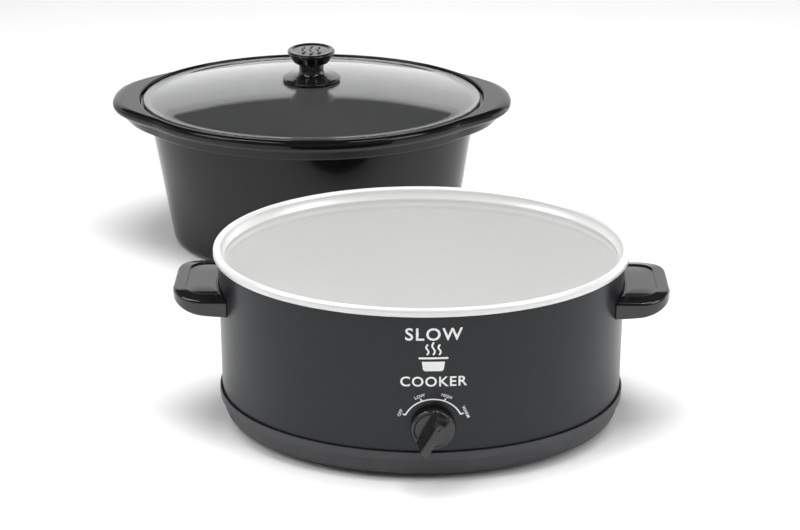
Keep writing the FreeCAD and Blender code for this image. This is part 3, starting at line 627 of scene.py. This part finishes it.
def rounded_rectangle(width, length, corner, z):
    """Loop with its long side along Y."""
    steps = 5
    loop = []
    for quarter, (sx, sy) in enumerate(((1, 1), (-1, 1), (-1, -1), (1, -1))):
        for i in range(steps + 1):
            t = math.radians(90 * quarter + 90 * i / steps)
            loop.append((sx * (width / 2 - corner) + corner * math.cos(t),
                         sy * (length / 2 - corner) + corner * math.sin(t), z))
    return loop


# ---- print on the shell -------------------------------------------------------------------------
PRINT_PROUD = 0.10          # from the shell to the middle of the print's thickness
PRINT_HALF_T = 0.05
BEND_STEP = 0.004           # metres between the cuts that let a print bend


def wrap_print(name, mesh, cx, cz):
    """Bends a flat print (its x and y in metres from its own middle) onto the shell's front."""
    work = bmesh.new()
    work.from_mesh(mesh)
    bmesh.ops.triangulate(work, faces=work.faces)
    left = min(v.co.x for v in work.verts)
    right = max(v.co.x for v in work.verts)
    cut = math.ceil(left / BEND_STEP) * BEND_STEP
    while cut < right:
        bmesh.ops.bisect_plane(work, geom=work.verts[:] + work.edges[:] + work.faces[:],
                               plane_co=(cut, 0, 0), plane_no=(1, 0, 0))
        cut += BEND_STEP
    for v in work.verts:
        x = v.co.x / MM + cx
        v.co = Vector((x, front_y(x) - (PRINT_PROUD + v.co.z / MM), v.co.y / MM + cz)) * MM
    bmesh.ops.remove_doubles(work, verts=work.verts, dist=WELD)
    bmesh.ops.recalc_face_normals(work, faces=work.faces)
    flat = bpy.data.meshes.new(name)
    work.to_mesh(flat)
    work.free()
    piece = bpy.data.objects.new(name, flat)
    bpy.context.scene.collection.objects.link(piece)
    return register(piece, "base", "print_white")


def text_mesh(words, size, spacing, weight):
    """Flat mesh of generic words, size high, in the built-in font."""
    curve = bpy.data.curves.new("words", "FONT")
    curve.body = words
    curve.size = size * MM
    curve.align_x = "CENTER"
    curve.align_y = "CENTER"
    curve.space_character = spacing
    curve.offset = weight * MM
    curve.extrude = PRINT_HALF_T * MM
    curve.resolution_u = 4
    holder = bpy.data.objects.new("words", curve)
    bpy.context.scene.collection.objects.link(holder)
    bpy.context.view_layer.update()
    mesh = bpy.data.meshes.new_from_object(holder.evaluated_get(bpy.context.evaluated_depsgraph_get()))
    bpy.data.objects.remove(holder)
    return mesh


def stroke(points, width):
    """Outline of a flat band with round ends along a line."""
    half = width / 2
    left, right = [], []
    for i, p in enumerate(points):
        a = Vector(points[max(i - 1, 0)])
        b = Vector(points[min(i + 1, len(points) - 1)])
        along = (b - a).normalized()
        across = Vector((-along.y, along.x)) * half
        left.append(Vector(p) + across)
        right.append(Vector(p) - across)
    end_along = (Vector(points[-1]) - Vector(points[-2])).normalized()
    start_along = (Vector(points[0]) - Vector(points[1])).normalized()

    def cap(middle, along):
        side = Vector((-along.y, along.x))
        return [Vector(middle) + (side * math.cos(t) + along * math.sin(t)) * half
                for t in (math.radians(30 * k) for k in range(1, 6))]

    return left + cap(points[-1], end_along) + right[::-1] + cap(points[0], start_along)


def plates_mesh(outlines):
    """One mesh of flat closed plates from outlines."""
    work = bmesh.new()
    for outline in outlines:
        lower = [work.verts.new((p[0] * MM, p[1] * MM, -PRINT_HALF_T * MM)) for p in outline]
        upper = [work.verts.new((p[0] * MM, p[1] * MM, PRINT_HALF_T * MM)) for p in outline]
        count = len(outline)
        work.faces.new(lower[::-1])
        work.faces.new(upper)
        for i in range(count):
            j = (i + 1) % count
            work.faces.new((lower[i], lower[j], upper[j], upper[i]))
    bmesh.ops.recalc_face_normals(work, faces=work.faces)
    mesh = bpy.data.meshes.new("plates")
    work.to_mesh(mesh)
    work.free()
    return mesh


def wisp(x, low, high, sway, steps=14):
    """Wavy line of steam."""
    return [(x + sway * math.sin(2 * math.pi * i / steps), low + (high - low) * i / steps)
            for i in range(steps + 1)]


LABEL_R = 29.8              # from the dial's middle to its labels' middles
SETTINGS = (("OFF", -66), ("LOW", -22), ("HIGH", 22), ("WARM", 66))     # and degrees from upright


def make_prints():
    """Two words, a pot under steam between them, and the dial's four settings."""
    x = DIAL_CENTRE.x
    z = DIAL_CENTRE.z
    wrap_print("words_top", text_mesh("SLOW", 15.5, 1.15, 0.25), x, z + 84)
    wrap_print("words_bottom", text_mesh("COOKER", 12.5, 1.12, 0.2), x, z + 41)
    lid_line = [(-11.5, 4), (11.5, 4)]
    pot = [(-9.5, 0.8), (-8.6, -6.2), (-7.2, -7.8), (7.2, -7.8), (8.6, -6.2), (9.5, 0.8)]
    outlines = [stroke(lid_line, 1.7), pot,
                stroke(wisp(-5, 7.5, 16, 1.0), 1.5), stroke(wisp(0, 7.5, 18, 1.1), 1.5),
                stroke(wisp(5, 7.5, 16, 1.0), 1.5)]
    wrap_print("steam_mark", plates_mesh(outlines), x, z + 59)
    radius = LABEL_R
    for words, angle in SETTINGS:
        mesh = text_mesh(words, 3.8, 1.05, 0.05)
        t = math.radians(angle)
        mesh.transform(Matrix.Rotation(-t, 4, "Z"))
        mesh.transform(Matrix.Translation(Vector((radius * math.sin(t), radius * math.cos(t), 0)) * MM))
        wrap_print("label_" + words.lower(), mesh, x, z)


# ---- crock --------------------------------------------------------------------------------------
CROCK_SEAT_DROP = 21.5      # from its top to the shoulder that rests on the base's rim
CROCK_LEDGE_DROP = 5.0      # from its top to the ledge that holds the lid
CROCK_FLOOR_T = 10


def make_crock():
    """Stoneware bowl with a foot, a shoulder, a rounded rim that widens into lugs, and a lid ledge."""
    cx, cy = CROCK_CENTRE.x, CROCK_CENTRE.y
    top = crock_high.z
    lug = (crock_high.x - crock_low.x) / 2 - (crock_high.y - crock_low.y) / 2 - AXIS_DIFF
    outer = (crock_high.y - crock_low.y) / 2 + AXIS_DIFF
    rim = outer - 2.5
    body = rim - 15.0
    foot = rim - 34.0
    seat = top - CROCK_SEAT_DROP
    ledge = top - CROCK_LEDGE_DROP
    outside = [(foot - 9, 0, 0), (foot - 5, 1, 0), (foot - 1.6, 4.2, 0), (foot, 9, 0), (body, seat - 1, 0),
               (body + 1, seat, 0), (rim - 3.6, seat, 0.42 * lug), (rim - 2.4, seat + 1.2, 0.5 * lug),
               (rim - 0.2, seat + 10, 0.78 * lug), (rim + 1.8, seat + 12, 0.95 * lug),
               (rim + 2.5, seat + 15, lug), (rim + 2.2, seat + 18, lug),
               (rim + 0.9, top - 1.1, 0.94 * lug), (rim - 1.6, top, 0.8 * lug)]
    inside = [(rim - 3.4, top, 0), (rim - 4.6, top - 0.8, 0), (rim - 5.2, ledge - 0.2, 0),
              (body + 0.5, ledge, 0), (body - 2, ledge - 1.2, 0), (body - 3.5, ledge - 4, 0),
              (body - 6, seat - 4, 0), (foot - 7.5, 24, 0), (foot - 11, 15, 0),
              (foot - 20, CROCK_FLOOR_T, 0)]
    section = soften(outside + inside, 1.1)
    middle = AXIS_DIFF / 2
    first = [(section[0][0] * share + middle * (1 - share), 0, 0) for share in (0.4, 0.85)]
    last = [(section[-1][0] * share + middle * (1 - share), CROCK_FLOOR_T, 0) for share in (0.85, 0.4)]
    oval_piece("crock_bowl", first + list(section) + last, "crock", "crock_glaze", ["crock"],
               centre=(cx, cy))


# ---- lid ----------------------------------------------------------------------------------------
GLASS_T = 4.0
GLASS_HOLE = 3.6            # radius of the hole for the knob's screw
DOME_EDGE = 0.955           # share of the way out at which the dome meets the flat edge
DOME_EASE = 0.012           # share over which the two are blended


def make_glass():
    """Domed glass with a rounded edge and a hole for the knob's screw."""
    cx, cy = (glass_low.x + glass_high.x) / 2, (glass_low.y + glass_high.y) / 2
    low = glass_low.z
    rise = glass_high.z - low - GLASS_T
    steps = 40
    loops = []

    def add(share, z, inset=0.0):
        a = GLASS_HOLE + share * (LID_HALF - GLASS_HOLE) - inset
        b = GLASS_HOLE + share * (LID_HALF - AXIS_DIFF - GLASS_HOLE) - inset
        loops.append([(cx + a * math.cos(2 * math.pi * i / AROUND),
                       cy + b * math.sin(2 * math.pi * i / AROUND), z) for i in range(AROUND)])

    def dome(share):
        return rise * (1 - (share / DOME_EDGE) ** 2) if share < DOME_EDGE else 0.0

    def eased(share):
        if share <= 0.05:
            return dome(share)
        return sum(dome(share + DOME_EASE * k / 3) for k in range(-3, 4)) / 7

    for i in range(13):
        t = math.radians(-90 + 180 * i / 12)
        add(1.0, low + GLASS_T / 2 + GLASS_T / 2 * math.sin(t), 1.3 * (1 - math.cos(t)))
    shares = [0.985, 0.972, 0.963] + [DOME_EDGE * (1 - i / steps) for i in range(steps + 1)]
    for share in shares:
        add(share, low + GLASS_T + eased(share))
    for share in reversed(shares):
        add(share, low + eased(share))
    add_piece("lid_dome", *skin(loops, True), "lid", "lid_glass", ["lid_glass"])


def make_lid_knob():
    """Turned knob with a flange, a waist and a flat cap that carries three wavy ribs."""
    cx, cy = (knob_low.x + knob_high.x) / 2, (knob_low.y + knob_high.y) / 2
    low = knob_low.z + 0.5
    top = knob_high.z
    profile = [(2.6, low + 15), (2.6, low), (22.2, low), (29.6, low - 0.5), (30.5, low + 0.3),
               (30.2, low + 1.3), (28, low + 2.1), (20, low + 3.6), (15, low + 4.8),
               (13.4, low + 6.4), (12.9, low + 8.6), (12.9, low + 16.4), (13.8, low + 17.3),
               (17.2, low + 17.6), (18.8, low + 18.6), (24.4, low + 27.6), (24.9, low + 29.4),
               (24.2, low + 30.5), (22.0, top), (20.4, top - 0.2), (19.4, top - 1.3),
               (17.4, top - 1.5), (9.0, top - 1.3)]
    loops = turned_loops(soften(profile, 0.6), (cx, cy))
    add_piece("lid_handle", *skin(loops), "lid", "knob_plastic", ["lid_knob"])
    points, faces = [], []
    for offset, reach in ((-8.0, 9.5), (0.0, 13.0), (8.0, 9.5)):
        line = wisp(offset, -reach, reach, 1.6, 20)
        rib_points, rib_faces = rib(line, 2.6, top - 1.7, top - 0.3)
        faces += [tuple(i + len(points) for i in face) for face in rib_faces]
        points += [(cx + p[0], cy + p[1], p[2]) for p in rib_points]
    add_piece("lid_handle_ribs", points, faces, "lid", "knob_plastic")


def rib(line, width, z_low, z_high):
    """Raised rounded rib along a flat line."""
    tall = z_high - z_low
    levels = ((1.0, z_low), (1.0, z_low + 0.55 * tall), (0.86, z_low + 0.84 * tall), (0.55, z_high),
              (0.2, z_high + 0.02))
    return skin([[(p[0], p[1], z) for p in stroke(line, width * share)] for share, z in levels])


# ---- cord gland ---------------------------------------------------------------------------------
GLAND_BORE = 3.6


def make_gland():
    """Stepped gland on the back, with moulded rings on its neck; the supply cord is left out."""
    x, z = (gland_low.x + gland_high.x) / 2, (gland_low.z + gland_high.z) / 2
    outer = (gland_high.x - gland_low.x) / 2
    start, end = gland_low.y, gland_high.y
    wall = SHELL_HALF - AXIS_DIFF
    neck, groove = 6.5, 5.9
    profile = [(4.6, start), (8, start), (8, start + 2), (neck, start + 2), (neck, wall + 0.1),
               (outer, wall + 0.1), (outer, wall + 1.9), (outer - 1.2, wall + 2.6),
               (neck, wall + 2.6), (neck, wall + 4.2), (groove, wall + 4.6), (groove, wall + 5.4),
               (neck, wall + 5.8), (neck, wall + 6.8), (groove, wall + 7.2), (groove, wall + 8.0),
               (neck, wall + 8.4), (6.3, end), (GLAND_BORE, end), (GLAND_BORE, wall + 1),
               (4.6, wall + 1)]
    loops = turned_loops(soften(profile, 0.3, True, 2), (0, 0), FINE_AROUND)
    loops = [[(x + p[0], p[2], z + p[1]) for p in loop] for loop in loops]
    add_piece("gland_bush", *skin(loops, True), "base", "gland_plastic", ["cord_gland"])


make_shell()
make_liner()
make_ring()
make_handle("grip_left", -1, "handle_left")
make_handle("grip_right", 1, "handle_right")
make_dial()
make_prints()
make_crock()
make_glass()
make_lid_knob()
make_gland()


# ---- studio -------------------------------------------------------------------------------------
FLOOR_REACH = 6.0
BACKDROP_TOP = 0.515        # upward share of a direction where the white backdrop ends
BACKDROP_FADE = 0.015
CEILING = 0.03
FRONT_SHARE = 0.22          # how bright the room behind the camera is, against the backdrop
FRONT_FROM, FRONT_TO = -0.25, 0.35      # share of a direction along Y over which that changes

# name, place, aim, size, power in watts, seen in reflections and through glass
LAMPS = (
    ("softbox_left", (-1.6, -0.6, 1.5), (0, 0.1, 0.1), (0.9, 1.2), 12, True),
    ("softbox_right", (1.6, -0.9, 1.4), (0, 0.1, 0.1), (0.9, 1.2), 13, True),
    ("top_panel", (0.0, 0.1, 2.2), (0, 0.1, 0.0), (1.6, 1.2), 52, False),
    ("back_panel", (0.0, 3.0, 0.82), (0, 0.4, 0.82), (3.6, 1.64), 5, True),
    ("strip_left", (-0.85, -0.6, 1.9), (0, 0.1, 0.1), (0.8, 0.2), 7, True),
    ("strip_right", (0.65, -0.6, 1.9), (0, 0.1, 0.1), (0.6, 0.2), 5, True),
    ("edge_right", (2.0, 1.0, 0.25), (0, 0, 0.1), (1.6, 0.5), 7, True),
)

CAMERA_PLACE = (0.0008, -1.6172, 0.8544)
YAW, PITCH = -0.012, 0.4153             # radians to the right of +Y, and below level
LENS, SENSOR = 90.9, 36.0


def make_floor():
    mesh = bpy.data.meshes.new("floor")
    reach = FLOOR_REACH
    mesh.from_pydata([(-reach, -reach, 0), (reach, -reach, 0), (reach, reach, 0), (-reach, reach, 0)],
                     [], [(0, 1, 2, 3)])
    floor = bpy.data.objects.new("floor", mesh)
    bpy.context.scene.collection.objects.link(floor)
    f = Finish("white_floor")
    f.colour(f.noise(3, 2), (0.90, 0.90, 0.90), (0.92, 0.92, 0.92))
    f.rough(f.noise(5, 2), 0.55, 0.65)
    f.set(Specular_IOR_Level=0.1)
    mesh.materials.append(f.material)


def area_light(name, place, aim, size, power, reflected):
    data = bpy.data.lights.new(name, "AREA")
    data.shape = "RECTANGLE"
    data.size, data.size_y = size
    data.energy = power
    light = bpy.data.objects.new(name, data)
    light.location = place
    light.rotation_euler = (Vector(aim) - Vector(place)).to_track_quat("-Z", "Y").to_euler()
    light.visible_camera = False
    light.visible_glossy = reflected
    light.visible_transmission = reflected
    bpy.context.scene.collection.objects.link(light)


def make_world():
    """White round the horizon, dimmer behind the camera, under a dark ceiling."""
    world = bpy.data.worlds.new("studio")
    world.use_nodes = True
    bpy.context.scene.world = world
    tree = world.node_tree
    place = tree.nodes.new("ShaderNodeTexCoord")
    split = tree.nodes.new("ShaderNodeSeparateXYZ")
    ramp = tree.nodes.new("ShaderNodeValToRGB")
    tree.links.new(place.outputs["Generated"], split.inputs["Vector"])
    tree.links.new(split.outputs["Z"], ramp.inputs["Fac"])
    ramp.color_ramp.elements[0].position = BACKDROP_TOP
    ramp.color_ramp.elements[0].color = (1, 1, 1, 1)
    ramp.color_ramp.elements[1].position = BACKDROP_TOP + BACKDROP_FADE
    ramp.color_ramp.elements[1].color = (CEILING, CEILING, CEILING, 1)
    share = tree.nodes.new("ShaderNodeMapRange")
    share.inputs["From Min"].default_value = FRONT_FROM
    share.inputs["From Max"].default_value = FRONT_TO
    share.inputs["To Min"].default_value = FRONT_SHARE
    share.inputs["To Max"].default_value = 1.0
    tree.links.new(split.outputs["Y"], share.inputs["Value"])
    dim = tree.nodes.new("ShaderNodeVectorMath")
    dim.operation = "SCALE"
    tree.links.new(ramp.outputs["Color"], dim.inputs[0])
    tree.links.new(share.outputs["Result"], dim.inputs["Scale"])
    tree.links.new(dim.outputs["Vector"], tree.nodes["Background"].inputs["Color"])
    tree.nodes["Background"].inputs["Strength"].default_value = 1.0


def make_camera():
    data = bpy.data.cameras.new("camera")
    data.lens = LENS
    data.sensor_width = SENSOR
    camera = bpy.data.objects.new("camera", data)
    forward = Vector((math.sin(YAW) * math.cos(PITCH), math.cos(YAW) * math.cos(PITCH),
                      -math.sin(PITCH)))
    camera.location = CAMERA_PLACE
    camera.rotation_euler = forward.to_track_quat("-Z", "Y").to_euler()
    bpy.context.scene.collection.objects.link(camera)
    bpy.context.scene.camera = camera


make_floor()
make_world()
for lamp in LAMPS:
    area_light(*lamp)
make_camera()
bpy.context.scene.view_settings.view_transform = "Standard"
